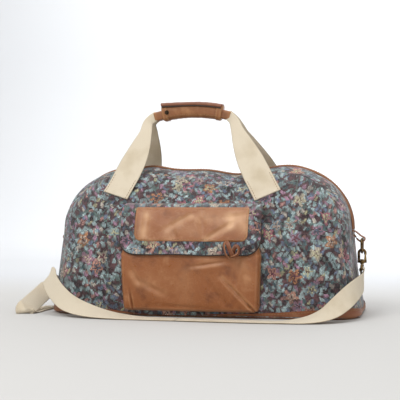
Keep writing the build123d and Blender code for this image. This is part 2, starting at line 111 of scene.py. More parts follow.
# Woven tapestry: every colour is a short thread, so the flowers break into small upright strokes
def tapestryMaterial():
    look = {
        "threadWide": 1.4 * mm, "threadLong": 2.0 * mm, "flowerPitch": 30 * mm, "leafWide": 7 * mm,
        "leafLong": 13 * mm, "wander": 15 * mm, "curl": 14.2857 * mm, "ground": 29.4118 * mm, "stem": 19.2308 * mm,
        "bunch": 21 * mm,
    }
    material, tree = newMaterial("jacquardTapestry")
    uv = addNode(tree, "TexCoord", {})["UV"]
    snapped = addNode(tree, "VectorMath", {0: uv, 1: (look["threadWide"], look["threadLong"], 1)},
                      operation="SNAP")[0]
    wobble = addNode(tree, "TexNoise", {"Vector": snapped, "Scale": 1 / look["curl"], "Detail": 5,
                                        "Roughness": 0.66})["Color"]
    wobble = addNode(tree, "VectorMath", {0: wobble, 1: (0.5, 0.5, 0.5)}, operation="SUBTRACT")[0]
    wobble = addNode(tree, "VectorMath", {0: wobble, 1: (look["wander"], look["wander"], 0)},
                     operation="MULTIPLY")[0]
    place = addNode(tree, "VectorMath", {0: snapped, 1: wobble}, operation="ADD")[0]

    groundNoise = addNode(tree, "TexNoise", {"Vector": place, "Scale": 1 / look["ground"], "Detail": 3})["Fac"]
    colour = addNode(tree, "ValToRGB", {"Fac": groundNoise}, ramp=[
        (0.34, "1F1B20"), (0.44, "4A3237"), (0.52, "70494C"), (0.6, "34363C"), (0.7, "825E62")])[0]

    # thin curling stems in dull teal
    stemNoise = addNode(tree, "TexNoise", {"Vector": place, "Scale": 1 / look["stem"], "Detail": 1})["Fac"]
    stem = addNode(tree, "Math", {0: stemNoise, 1: 0.5}, operation="SUBTRACT")[0]
    stem = addNode(tree, "Math", {0: stem}, operation="ABSOLUTE")[0]
    stem = addNode(tree, "MapRange", {"Value": stem, 1: 0.012, 2: 0.035, 3: 1.0, 4: 0.0})[0]
    colour = addNode(tree, "MixRGB", {"Fac": stem, 1: colour, 2: linear("6E8A84")})[0]

    # two layers of pointed leaves that lean opposite ways
    leafTones = (
        (radians(34), (3.1, 7.7, 0), [(0, "55767A"), (0.16, "A8C4C6"), (0.42, "7486A0"), (0.54, "C2BF94"),
                                      (0.62, "B6D0D2"), (0.86, "C48E84")]),
        (radians(-38), (9.4, 2.3, 0), [(0, "B6D0D2"), (0.24, "4A666E"), (0.36, "BC8EA8"), (0.54, "9FBDBE"),
                                       (0.74, "CBC2B4"), (0.86, "7486A0")]),
    )
    for lean, shift, tones in leafTones:
        turned = addNode(tree, "VectorRotate", {"Vector": place, "Angle": lean}, rotation_type="Z_AXIS")[0]
        leafSize = (1 / look["leafWide"], 1 / look["leafLong"], 1)
        turned = addNode(tree, "VectorMath", {0: turned, 1: leafSize}, operation="MULTIPLY")[0]
        turned = addNode(tree, "VectorMath", {0: turned, 1: shift}, operation="ADD")[0]
        leaf = addNode(tree, "TexVoronoi", {"Vector": turned, "Scale": 1.0, "Randomness": 0.9},
                       voronoi_dimensions="2D")
        mask = addNode(tree, "MapRange", {"Value": leaf["Distance"], 1: 0.3, 2: 0.44, 3: 1.0, 4: 0.0})[0]
        pick = addNode(tree, "SeparateColor", {"Color": leaf["Color"]})
        some = addNode(tree, "Math", {0: pick[0], 1: 0.3}, operation="GREATER_THAN")[0]
        mask = addNode(tree, "Math", {0: mask, 1: some}, operation="MULTIPLY")[0]
        tone = addNode(tree, "ValToRGB", {"Fac": pick[1]}, ramp=tones, steps="CONSTANT")
        colour = addNode(tree, "MixRGB", {"Fac": mask, 1: colour, 2: tone[0]})[0]

    # five-petalled flowers with a ring and an eye
    flower = addNode(tree, "TexVoronoi", {"Vector": place, "Scale": 1 / look["flowerPitch"],
                                          "Randomness": 0.78}, voronoi_dimensions="2D")
    arm = addNode(tree, "VectorMath", {0: place, 1: flower["Position"]}, operation="SUBTRACT")[0]
    arm = addNode(tree, "SeparateXYZ", {"Vector": arm})
    turn = addNode(tree, "Math", {0: arm[1], 1: arm[0]}, operation="ARCTAN2")[0]
    pick = addNode(tree, "SeparateColor", {"Color": flower["Color"]})
    turn = addNode(tree, "Math", {0: turn, 1: 5.0, 2: pick[2]}, operation="MULTIPLY_ADD")[0]
    petal = addNode(tree, "Math", {0: turn}, operation="COSINE")[0]
    rim = addNode(tree, "Math", {0: petal, 1: 0.1, 2: 0.33}, operation="MULTIPLY_ADD")[0]
    inside = addNode(tree, "Math", {0: rim, 1: flower["Distance"]}, operation="SUBTRACT")[0]
    petals = addNode(tree, "ValToRGB", {"Fac": pick[0]}, ramp=[
        (0, "C0707F"), (0.16, "A9C4C2"), (0.3, "D79A82"), (0.42, "8FA8B4"), (0.54, "CF8A55"),
        (0.64, "A79AAE"), (0.76, "CFC4AC"), (0.88, "B98AA0")], steps="CONSTANT")
    rings = addNode(tree, "ValToRGB", {"Fac": pick[1]}, ramp=[
        (0, "E0C9B4"), (0.25, "8C4A58"), (0.5, "D8D3A8"), (0.75, "4F6C7E")], steps="CONSTANT")
    blooms = addNode(tree, "Math", {0: pick[2], 1: 0.38}, operation="GREATER_THAN")[0]
    zones = ((0.0, 0.03, petals[0]), (0.15, 0.18, rings[0]), (0.27, 0.3, linear("5A3438")))
    for low, high, tone in zones:
        mask = addNode(tree, "MapRange", {"Value": inside, 1: low, 2: high, 3: 0.0, 4: 1.0})[0]
        mask = addNode(tree, "Math", {0: mask, 1: blooms}, operation="MULTIPLY")[0]
        colour = addNode(tree, "MixRGB", {"Fac": mask, 1: colour, 2: tone})[0]

    # each thread is a little lighter or darker than its neighbour, and some show the ground
    thread = addNode(tree, "TexWhiteNoise", {"Vector": snapped}, noise_dimensions="2D")
    shade = addNode(tree, "MapRange", {"Value": thread["Value"], 1: 0.0, 2: 1.0, 3: 0.34, 4: 1.04})[0]
    colour = addNode(tree, "MixRGB", {"Fac": 1.0, 1: colour, 2: shade}, blend_type="MULTIPLY")[0]
    # bunches of pale motifs stand between darker stretches of ground
    bunch = addNode(tree, "TexNoise", {"Vector": snapped, "Scale": 1 / look["bunch"], "Detail": 2})["Fac"]
    bunch = addNode(tree, "MapRange", {"Value": bunch, 1: 0.36, 2: 0.64, 3: 0.62, 4: 1.3})[0]
    colour = addNode(tree, "MixRGB", {"Fac": 1.0, 1: colour, 2: bunch}, blend_type="MULTIPLY")[0]
    ground = addNode(tree, "Math", {0: thread["Value"], 1: 0.72}, operation="GREATER_THAN")[0]
    ground = addNode(tree, "Math", {0: ground, 1: 0.55, 2: 0.06}, operation="MULTIPLY_ADD")[0]
    colour = addNode(tree, "MixRGB", {"Fac": ground, 1: colour, 2: linear("523C3E")})[0]
    colour = addNode(tree, "HueSaturation", {"Saturation": 0.92, "Color": colour})[0]
    threadSize = (1 / look["threadWide"], 1 / look["threadLong"], 1)
    threads = addNode(tree, "VectorMath", {0: uv, 1: threadSize}, operation="MULTIPLY")[0]
    weave = addNode(tree, "TexVoronoi", {"Vector": threads, "Scale": 1.0, "Randomness": 0.25},
                    voronoi_dimensions="2D")["Distance"]
    weave = addNode(tree, "Math", {0: 1.0, 1: weave}, operation="SUBTRACT")[0]
    finishMaterial(tree, colour, 0.88, weave, 0.5 * mm, Sheen_Weight=0.25, Sheen_Roughness=0.5)
    return material


# Waxed pull-up leather: the wax breaks where the hide bends, so creases and raised edges turn pale; sunk folds
# carry painted shade and listed places carry painted highlights
def leatherMaterial(name, tan, pale, dark, polish):
    look = {"grain": 1.3 * mm, "mottle": 30 * mm, "crease": 22 * mm}
    material, tree = newMaterial(name)
    place = addNode(tree, "TexCoord", {})["Object"]
    mottle = addNode(tree, "TexNoise", {"Vector": place, "Scale": 1 / look["mottle"], "Detail": 5})["Fac"]
    colour = addNode(tree, "ValToRGB", {"Fac": mottle}, ramp=[
        (0.28, dark), (0.46, tan), (0.6, tan), (0.85, pale)])[0]
    grain = addNode(tree, "TexVoronoi", {"Vector": place, "Scale": 1 / look["grain"]})["Distance"]
    fine = addNode(tree, "TexNoise", {"Vector": place, "Scale": 1 / look["crease"], "Detail": 8,
                                      "Roughness": 0.62})["Fac"]
    pull = addNode(tree, "Math", {0: fine, 1: 0.5}, operation="SUBTRACT")[0]
    pull = addNode(tree, "Math", {0: pull}, operation="ABSOLUTE")[0]
    bend = addNode(tree, "NewGeometry", {})["Pointiness"]
    paintedHighlight = addNode(tree, "Attribute", {}, attribute_name="painted_light")["Fac"]
    # fine cracks and raised edges turn pale, sunk folds get painted shade, and a per-point attribute adds painted
    # highlights on the pocket and inlay and a painted pale rim along leather strips
    for value, low, high, atLow, atHigh, tone in (
            (pull, 0.0, 0.02, 0.16, 0.0, pale), (bend, 0.505, 0.56, 0.0, 0.7, pale),
            (bend, 0.44, 0.495, 0.6, 0.0, dark), (paintedHighlight, 0.0, 1.0, 0.0, 1.0, pale)):
        share = addNode(tree, "MapRange", {"Value": value, 1: low, 2: high, 3: atLow, 4: atHigh})[0]
        colour = addNode(tree, "MixRGB", {"Fac": share, 1: colour, 2: linear(tone)})[0]
    rough = addNode(tree, "MapRange", {"Value": fine, 1: 0.3, 2: 0.7, 3: polish - 0.08, 4: polish + 0.12})[0]
    height = addNode(tree, "Math", {0: fine, 1: 1.6, 2: grain}, operation="MULTIPLY_ADD")[0]
    finishMaterial(tree, colour, rough, height, 0.35 * mm)
    return material


# Flat cotton webbing: fine ribs along it with painted shade in their valleys and painted shadow along both edges,
# soiled a little by use
def webbingMaterial(name, cream, shade, soil):
    look = {"rib": 2.4 * mm, "pick": 1.5 * mm, "stain": 60 * mm}
    material, tree = newMaterial(name)
    coords = addNode(tree, "TexCoord", {})
    parts = addNode(tree, "SeparateXYZ", {"Vector": coords["UV"]})
    heights = []
    for axis, pitch in ((0, look["rib"]), (1, look["pick"])):
        phase = addNode(tree, "Math", {0: parts[axis], 1: 2 * pi / pitch}, operation="MULTIPLY")[0]
        heights.append(addNode(tree, "Math", {0: phase}, operation="SINE")[0])
    weave = addNode(tree, "Math", {0: heights[0], 1: heights[1]}, operation="MULTIPLY")[0]
    stain = addNode(tree, "TexNoise", {"Vector": coords["Object"], "Scale": 1 / look["stain"],
                                       "Detail": 5})["Fac"]
    colour = addNode(tree, "ValToRGB", {"Fac": stain}, ramp=[(0.3, soil), (0.48, cream), (0.7, cream)])[0]
    # the low parts of the weave are mixed towards the shade colour, painted shade between the ribs
    low = addNode(tree, "MapRange", {"Value": weave, 1: -1.0, 2: 0.6, 3: 0.35, 4: 0.0})[0]
    colour = addNode(tree, "MixRGB", {"Fac": low, 1: colour, 2: linear(shade)})[0]
    # the per-point edge value darkens both edges, a painted shadow where the webbing meets the floor and the bag
    edge = addNode(tree, "Attribute", {}, attribute_name="painted_light")["Fac"]
    colour = addNode(tree, "MixRGB", {"Fac": edge, 1: colour, 2: linear("8A7455")})[0]
    finishMaterial(tree, colour, 0.9, weave, 0.35 * mm, Sheen_Weight=0.2)
    return material


# Antiqued cast brass: a brown patina that rubs through to yellow metal on the edges
def brassMaterial(name, metal, patina, polish):
    look = {"cloud": 6.25 * mm}
    material, tree = newMaterial(name)
    place = addNode(tree, "TexCoord", {})["Object"]
    cloud = addNode(tree, "TexNoise", {"Vector": place, "Scale": 1 / look["cloud"], "Detail": 5})["Fac"]
    colour = addNode(tree, "ValToRGB", {"Fac": cloud}, ramp=[(0.35, patina), (0.65, metal)])[0]
    bend = addNode(tree, "NewGeometry", {})["Pointiness"]
    edgeWearAndPaintedLight = addNode(tree, "MapRange", {"Value": bend, 1: 0.51, 2: 0.6, 3: 0.0, 4: 0.6})[0]
    colour = addNode(tree, "MixRGB", {"Fac": edgeWearAndPaintedLight, 1: colour, 2: linear("C9A86A")})[0]
    rough = addNode(tree, "MapRange", {"Value": cloud, 1: 0.3, 2: 0.7, 3: polish, 4: polish + 0.2})[0]
    finishMaterial(tree, colour, rough, cloud, 0.12 * mm, Metallic=1.0)
    return material


# Linen thread and dyed tape: matt, twisted, with a fine diagonal bump
def threadMaterial(name, tone, shade, pitch):
    material, tree = newMaterial(name)
    place = addNode(tree, "TexCoord", {})["Object"]
    twist = addNode(tree, "TexWave", {"Vector": place, "Scale": 0.3 / pitch, "Distortion": 1.0},
                    bands_direction="DIAGONAL")["Fac"]
    colour = addNode(tree, "MixRGB", {"Fac": twist, 1: linear(tone), 2: linear(shade)})[0]
    finishMaterial(tree, colour, 0.85, twist, 0.2 * mm)
    return material


tapestry = tapestryMaterial()
pocketLeather = leatherMaterial("waxedPocketLeather", "92572D", "C08C62", "733F1E", 0.32)
inlayLeather = leatherMaterial("waxedInlayLeather", "93592F", "CFA27A", "7C4825", 0.34)
baseLeather = leatherMaterial("waxedBaseLeather", "8C5231", "AC7A54", "6C3D25", 0.45)
gripLeather = leatherMaterial("handledGripLeather", "85502A", "B78457", "5A3319", 0.38)
webbing = webbingMaterial("cottonWebbing", "ECDFC7", "BCA789", "DACAAD")
brass = brassMaterial("antiquedBrass", "8A6E48", "3E3024", 0.32)
blackenedBrass = brassMaterial("blackenedStudBrass", "4A3C2E", "241C18", 0.4)
thread = threadMaterial("linenThread", "B98F62", "7A5A3C", 1.2 * mm)
# the dark tape is the zip tape's own colour; the same material also makes painted shadow strips under the pocket
# flap and the grip flap
darkTape = threadMaterial("dyedTapeAndShadowStrips", "2A211E", "4A3B33", 1.6 * mm)
print("materials made")

# The dome: the same outline as the solid body
dome = {
    "baseLength": 538, "baseDepth": 226, "waistLength": 500, "bulgeDepth": 242, "bulgeHeight": 75,
    "crownHeight": 250, "crownWidth": 20, "shoulder": 105, "baseEdge": 8, "seamInset": 12, "flare": 1.6,
    "cornerShare": 0.52,
}
spring = dome["crownHeight"] - dome["shoulder"]
crownHalf = dome["waistLength"] / 2 - dome["shoulder"]
seamTop = spring + dome["shoulder"] - dome["seamInset"]


def halfLength(z):
    if z < spring:
        flare = (1 - z / spring) ** dome["flare"]
        return (dome["waistLength"] + (dome["baseLength"] - dome["waistLength"]) * flare) / 2
    return crownHalf + sqrt(max(0, dome["shoulder"] ** 2 - (z - spring) ** 2))


def halfDepth(z):
    if z < dome["bulgeHeight"]:
        swell = sin(pi / 2 * z / dome["bulgeHeight"])
        return (dome["baseDepth"] + (dome["bulgeDepth"] - dome["baseDepth"]) * swell) / 2
    rise = (z - dome["bulgeHeight"]) / (dome["crownHeight"] - dome["bulgeHeight"])
    return (dome["crownWidth"] + (dome["bulgeDepth"] - dome["crownWidth"]) * sqrt(max(0, 1 - rise**2))) / 2


# the slice at height z: half length, half depth, corner radius, and the runs from the middle of the front to the
# start of the corner, its end and the middle of the end
def ringParts(z):
    a, b = halfLength(z), halfDepth(z)
    r = dome["cornerShare"] * b
    straight = a - r
    bent = straight + r * pi / 2
    return a, b, r, straight, bent, bent + b - r


def quarterRun(z):
    return ringParts(z)[-1]


# a point on the slice at height z, s along its outline from the middle of the front towards the right
def ringPoint(z, s):
    a, b, r, straight, bent, quarter = ringParts(z)
    side = 1 if s >= 0 else -1
    t = abs(s)
    behind = t > quarter
    t = 2 * quarter - t if behind else t
    if t < straight:
        x, y, nx, ny = t, -b, 0, -1
    elif t < bent:
        turn = (t - straight) / r
        x, y, nx, ny = straight + r * sin(turn), r - b - r * cos(turn), sin(turn), -cos(turn)
    else:
        x, y, nx, ny = a, r - b + t - bent, 1, 0
    if behind:
        y, ny = -y, -ny
    return side * x, y, side * nx, ny


# how far along the outline the seam between side and end runs at height z
def seamRun(z):
    if z < spring:
        x = dome["baseLength"] / 2 - dome["seamInset"]
        x += (crownHalf + dome["shoulder"] - dome["seamInset"] - x) * z / spring
    else:
        radius = dome["shoulder"] - dome["seamInset"]
        x = crownHalf + sqrt(max(0, radius**2 - (z - spring) ** 2))
    r, straight = ringParts(z)[2:4]
    return x if x < straight else straight + r * asin(min(1, (x - straight) / r))


# the crown sinks between the handles, more to the right: (place, width, height) of each hump and dip
crownHumps = ((52, 44, -11), (-40, 40, -3), (135, 35, 3.5), (-100, 24, 4))


def sag(x, z):
    weight = max(0, (z - 150) / 100) ** 2
    return weight * sum(high * bell(x - at, wide) for at, wide, high in crownHumps)


# broad swells, upright drapes and small puckers in the cloth
def ripple(x, y, z, seed):
    broad = noiseAt(x * 0.011 + seed, y * 0.011, z * 0.011)
    upright = noiseAt(x * 0.03, y * 0.03, z * 0.007 + seed)
    small = noiseAt(x * 0.035, y * 0.035 + seed, z * 0.035)
    return 2.4 * broad + 2.0 * upright + 0.8 * small


def addPiece(name, verts, faces, material):
    mesh = bpy.data.meshes.new(name)
    mesh.from_pydata([[c * mm for c in v] for v in verts], [], faces)
    mesh.materials.append(material)
    piece = bpy.data.objects.new(name, mesh)
    bpy.context.collection.objects.link(piece)
    return piece


# rows of (x, y, z, u, v), with painted light (painted highlights on leather, painted shade along webbing edges) as
# a sixth where the piece has any
def gridMesh(name, rows, material, closed=False, capped=False, thick=0):
    count, cols = len(rows), len(rows[0])
    cells = [cell for row in rows for cell in row]
    faces = []
    for i in range(count - 1):
        for j in range(cols if closed else cols - 1):
            k = (j + 1) % cols
            faces.append((i * cols + j, i * cols + k, (i + 1) * cols + k, (i + 1) * cols + j))
    if capped:
        faces += [tuple(reversed(range(cols))), tuple(range((count - 1) * cols, count * cols))]
    piece = addPiece(name, [cell[:3] for cell in cells], faces, material)
    mesh = piece.data
    layer = mesh.uv_layers.new(name="metres")
    for loop in mesh.loops:
        u, v = cells[loop.vertex_index][3:5]
        layer.data[loop.index].uv = (u * mm, v * mm)
    if len(cells[0]) > 5:
        painted_light = mesh.attributes.new("painted_light", "FLOAT", "POINT")
        painted_light.data.foreach_set("value", [cell[5] for cell in cells])
    mesh.polygons.foreach_set("use_smooth", [True] * len(mesh.polygons))
    if thick:
        wall = piece.modifiers.new("wall", "SOLIDIFY")
        wall.thickness = thick * mm
        wall.offset = -1
    return piece


# Body panels: soft sheets sewn along sunk seams, puffed and rippled between them
body = {
    "low": 3, "rows": 84, "cols": 170, "endCols": 80, "puff": 2.2, "seamCalm": 18, "topCalm": 14, "tuckLow": 14,
    "tuckHigh": 38, "capRows": 10, "capCols": 360, "capTop": dome["crownHeight"] - 0.3, "capCalm": 5,
    "capRipple": 0.5, "capSeed": 30.0,
}
# where the pattern is cut for each panel, so that no two show the same flowers
patternCut = {"perSeed": 60, "frontSeed": 2.0, "cap": 600, "flapX": 400, "flapZ": 33}


def frontRun(z):
    return -seamRun(z), seamRun(z)


def endRun(z):
    return seamRun(z), 2 * quarterRun(z) - seamRun(z)


def panelRows(runs, cols, seed, mirrorX, mirrorY):
    rows = []
    climbs, before = [0] * cols, None
    cut = patternCut["perSeed"] * (seed - patternCut["frontSeed"])
    for i in range(body["rows"]):
        z = body["low"] + (seamTop - body["low"]) * sin(pi / 2 * i / (body["rows"] - 1))
        low, high = runs(z)
        tucked = clamp((z - body["tuckLow"]) / (body["tuckHigh"] - body["tuckLow"]))
        topCalm = clamp((seamTop - z) / body["topCalm"])
        places, row = [], []
        for j in range(cols):
            share = j / (cols - 1)
            s = low + (high - low) * share
            x, y, nx, ny = ringPoint(z, s)
            u = s - (low + high) / 2
            places.append(Vector((x, y, z, u)))
            if before:
                step = places[j] - before[j]
                climbs[j] += sqrt(max(0, step.xyz.length_squared - step.w**2))
            seamCalm = min(1, min(share, 1 - share) * (high - low) / body["seamCalm"])
            ease = sqrt(max(0.0, min(seamCalm, topCalm)))
            push = body["puff"] * (ease - 1) + ripple(x, y, z, seed) * ease * tucked
            row.append((mirrorX * (x + nx * push), mirrorY * (y + ny * push), z + sag(mirrorX * x, z),
                        mirrorX * mirrorY * u + cut, climbs[j]))
        rows.append(row[:: mirrorX * mirrorY])
        before = places
    return rows


panels = (
    ("front_cloth", "front_panel", frontRun, body["cols"], patternCut["frontSeed"], 1, 1),
    ("back_cloth", "back_panel", frontRun, body["cols"], 8.0, 1, -1),
    ("right_end_cloth", "right_end_panel", endRun, body["endCols"], 14.0, 1, 1),
    ("left_end_cloth", "left_end_panel", endRun, body["endCols"], 21.0, -1, 1),
)
for name, node, runs, cols, seed, mirrorX, mirrorY in panels:
    cloth = gridMesh(name, panelRows(runs, cols, seed, mirrorX, mirrorY), tapestry)
    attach(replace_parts(cloth, node), "bag")

rows = []
for i in range(body["capRows"]):
    z = seamTop + (body["capTop"] - seamTop) * i / (body["capRows"] - 1)
    ease = min(1, (z - seamTop) / body["capCalm"])
    row = []
    for j in range(body["capCols"]):
        x, y, nx, ny = ringPoint(z, quarterRun(z) * (4 * j / body["capCols"] - 2))
        push = body["puff"] * (ease - 1) + body["capRipple"] * ripple(x, y, z, body["capSeed"]) * ease
        row.append((x + nx * push, y + ny * push, z + sag(x, z), x, y + patternCut["cap"]))
    rows.append(row)
cap = gridMesh("crown_cloth", rows, tapestry, closed=True)
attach(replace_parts(cap, "front_crown_panel", "rear_crown_panel"), "bag")
print("body panels made")


# Leather base: a shallow tray drawn up at the corners, lower at the front left
tray = {
    "rows": 14, "cols": 400, "underSpread": (0, 0.65, 0.92), "sideLow": 7, "sideRise": 21, "sideSpan": 299,
    "dip": 4.5, "dipX": -70, "dipWide": 90, "endLow": 12, "endRise": 16, "endSpan": 143, "proud": 1.1,
    "stitchLevel": 10, "stitchIn": 3, "stitchProud": 1.5,
}


def leatherRise(x, y):
    side = tray["sideLow"] + tray["sideRise"] * (x / tray["sideSpan"]) ** 2
    if y < 0:
        side -= tray["dip"] * bell(x - tray["dipX"], tray["dipWide"])
    return min(side, tray["endLow"] + tray["endRise"] * (y / tray["endSpan"]) ** 2)


# how far the rounded lower edge turns in at height z
def edgeTurn(z):
    return dome["baseEdge"] * (1 - rounded(min(1, z / dome["baseEdge"])))


rows = []
under = len(tray["underSpread"])
for i in range(tray["rows"]):
    up = max(0, i - under) / (tray["rows"] - 1 - under)
    spread = tray["underSpread"][i] if i < under else 1
    row = []
    for j in range(tray["cols"]):
        around = 4 * j / tray["cols"] - 2
        x, y, nx, ny = ringPoint(0, around * quarterRun(0))
        z = up * (leatherRise(x, y) + 0.8 * noiseAt(x * 0.02, y * 0.02, 5))
        x, y, nx, ny = ringPoint(z, around * quarterRun(z))
        push = tray["proud"] - edgeTurn(z) + 0.5 * noiseAt(x * 0.03, y * 0.03, z * 0.05)
        row.append(((x + nx * push) * spread, (y + ny * push) * spread, z, around * quarterRun(0), i * 4))
    rows.append(row)
base = gridMesh("base_leather", rows, baseLeather, closed=True)
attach(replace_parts(base, "base_panel"), "bag")

# a flat strip's section is a squared oval; near its two edges it carries painted light: painted shade on webbing,
# a painted pale rim on leather
section = {"across": 0.35, "through": 0.7, "edgeMarkFrom": 0.9}


# the directions at a station: out of the strip's face, and across it
def stationAxes(stations, i):
    ahead, behind = stations[min(i + 1, len(stations) - 1)][0], stations[max(i - 1, 0)][0]
    along = (Vector(ahead) - Vector(behind)).normalized()
    facing = Vector(stations[i][1])
    normal = (facing - along * facing.dot(along)).normalized()
    return normal, along.cross(normal)


# stations are (place, facing, width, wall)
def sweepStrip(name, stations, material, sides=10):
    rows = []
    run = 0
    for i, (place, facing, width, wall) in enumerate(stations):
        normal, across = stationAxes(stations, i)
        if i:
            run += (Vector(place) - Vector(stations[i - 1][0])).length
        row = []
        for j in range(2 * sides):
            turn = pi * (j + 0.5) / sides
            c, s = cos(turn), sin(turn)
            u = abs(c) ** section["across"] * (1 if c >= 0 else -1) * width / 2
            n = abs(s) ** section["through"] * (1 if s >= 0 else -1) * wall / 2
            edgeWearAndPaintedLight = max(0, abs(c) - section["edgeMarkFrom"]) / (1 - section["edgeMarkFrom"])
            row.append((*(Vector(place) + across * u + normal * n), u, run, edgeWearAndPaintedLight))
        rows.append(row)
    return gridMesh(name, rows, material, closed=True, capped=True)


# a smooth curve through the stations, with so many steps between each two
def smoothed(stations, steps):
    points = [Vector(s[0]) for s in stations]
    facings = [Vector(s[1]).normalized() for s in stations]
    out = []
    for i in range(len(stations) - 1):
        p0, p1, p2, p3 = (points[max(0, min(len(points) - 1, i + k))] for k in (-1, 0, 1, 2))
        for k in range(steps):
            t = k / steps
            a, b = (p2 - p0) * 0.5, (p3 - p1) * 0.5
            place = p1 * (2 * t**3 - 3 * t**2 + 1) + a * (t**3 - 2 * t**2 + t)
            place += p2 * (3 * t**2 - 2 * t**3) + b * (t**3 - t**2)
            facing = facings[i].lerp(facings[i + 1], t)
            width = stations[i][2] + (stations[i + 1][2] - stations[i][2]) * t
            wall = stations[i][3] + (stations[i + 1][3] - stations[i][3]) * t
            out.append((tuple(place), tuple(facing), width, wall))
    out.append(stations[-1])
    return out


# a row of short raised stitches laid along a line of points, facing outwards
stitch = {"wide": 0.8, "high": 0.5, "sunk": 0.1, "section": ((-0.5, 0), (-0.25, 1), (0.25, 1), (0.5, 0))}


def stitchRow(name, line, outward, long=3.2, gap=1.8):
    verts, faces = [], []
    run = 0.0
    places = [Vector(p) for p in line]
    for i in range(len(places) - 1):
        span = places[i + 1] - places[i]
        length = span.length
        if length < 1e-6:
            continue
        along = span / length
        while run < length:
            middle = places[i] + along * run
            normal = Vector(outward[i]).normalized()
            across = along.cross(normal).normalized()
            start = len(verts)
            for end in (-0.5, 0.5):
                for side, lift in stitch["section"]:
                    point = middle + along * (end * long) + across * (side * stitch["wide"])
                    verts.append(point + normal * (lift * stitch["high"] - stitch["sunk"]))
            for k in range(3):
                faces.append((start + k, start + k + 1, start + k + 5, start + k + 4))
            run += long + gap
        run -= length
    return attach(addPiece(name, verts, faces, thread), "bag")


line, outward = [], []
for j in range(tray["cols"] + 1):
    s = quarterRun(tray["stitchLevel"]) * (4 * j / tray["cols"] - 2)
    x, y, nx, ny = ringPoint(tray["stitchLevel"], s)
    z = leatherRise(x, y) - tray["stitchIn"]
    x, y, nx, ny = ringPoint(z, s)
    push = tray["stitchProud"] - edgeTurn(z)
    line.append((x + nx * push, y + ny * push, z))
    outward.append((nx, ny, 0.2))
stitchRow("base_stitches", line, outward)
print("base made")

# Zip: tape, metal teeth, and a leather welt each side
zipRun = {
    "steps": 240, "tape": 26, "tapeWall": 1.4, "tapeSunk": 0.6, "pitch": 3.2, "tooth": 2.0, "toothIn": -0.6,
    "toothOut": 2.7, "toothHigh": 1.9, "weltOffset": 9.4, "welt": 6.2, "weltHigh": 3.4, "weltProud": 1.2,
    "stitchProud": 2.9,
}
crownLine = []
crownRun = 2 * crownHalf + pi * dome["shoulder"]
for i in range(zipRun["steps"] + 1):
    d = crownRun * (i / zipRun["steps"] - 0.5)
    side = 1 if d > 0 else -1
    turn = max(0, abs(d) - crownHalf) / dome["shoulder"]
    nx, nz = side * sin(turn), cos(turn)
    x = side * min(abs(d), crownHalf) + dome["shoulder"] * nx
    z = spring + dome["shoulder"] * nz
    crownLine.append((x, z + sag(x, z), nx, nz))


def crownStations(y, proud, width, wall):
    return [((x + nx * proud, y, z + nz * proud), (nx, 0, nz), width, wall) for x, z, nx, nz in crownLine]


stations = crownStations(0, -zipRun["tapeSunk"], zipRun["tape"], zipRun["tapeWall"])
tape = sweepStrip("zip_tape_cloth", stations, darkTape, sides=8)
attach(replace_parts(tape, "zip_tape"), "bag")
for name, side, node in (("front_welt", -1, "front_zip_piping"), ("rear_welt", 1, "rear_zip_piping")):
    y = side * zipRun["weltOffset"]
    stations = crownStations(y, zipRun["weltProud"], zipRun["welt"], zipRun["weltHigh"])
    welt = sweepStrip(name, stations, baseLeather, sides=8)
    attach(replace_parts(welt, node), "bag")
    stations = crownStations(y, zipRun["stitchProud"], 0, 0)
    stitchRow(name + "_stitches", [s[0] for s in stations], [s[1] for s in stations])
verts, faces = [], []
count = int(crownRun / zipRun["pitch"])
for i in range(count):
    spot = zipRun["steps"] * i / count
    k = int(spot)
    x, z, nx, nz = (p + (q - p) * (spot - k) for p, q in zip(crownLine[k], crownLine[k + 1]))
    side = 1 if i % 2 else -1
    tangent = Vector((nz, 0, -nx))
    start = len(verts)
    for a in (-0.5, 0.5):
        for b in (zipRun["toothIn"], zipRun["toothOut"]):
            for c in (0, zipRun["toothHigh"]):
                point = Vector((x, side * b, z)) + tangent * (a * zipRun["tooth"])
                verts.append(point + Vector((nx, 0, nz)) * c)
    for quad in ((0, 1, 3, 2), (4, 6, 7, 5), (0, 4, 5, 1), (2, 3, 7, 6), (1, 5, 7, 3), (0, 2, 6, 4)):
        faces.append(tuple(start + q for q in quad))
teeth = addPiece("zip_teeth", verts, faces, brass)
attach(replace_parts(teeth, "zip_chain"), "bag")
print("zip made")

# Pocket: a creased leather pouch, its tapestry flap, the leather inlay and the knotted toggle
pocket = {
    "shift": -8, "half": 118.3, "low": 10, "mouth": 172, "deep": 14.5, "round": 7, "corner": 14, "flare": 0.0375,
    "flareFrom": 90, "tuck": 6, "tuckFrom": 104, "tuckRun": 16, "wall": 1.8, "rows": 120, "cols": 170,
    "flapHalf": 119, "flapTop": 190, "flapLow": 106, "flapCorner": 26, "flapLift": 18.4, "flapSunk": 3,
    "flapFold": 14, "hemLift": 2.2, "hemHigh": 12, "flapWall": 2.2, "flapRows": 60, "flapCols": 120,
    "shadowFrom": 18, "inlayLeft": -94, "inlayRight": 98, "inlayLow": 127, "inlayTop": 183, "inlayCorner": 12,
    "inlayTopCorner": 3, "inlayEdge": 2.5, "inlayRows": 70, "inlayCols": 150, "stitchIn": 3, "stitchProud": 2,
}

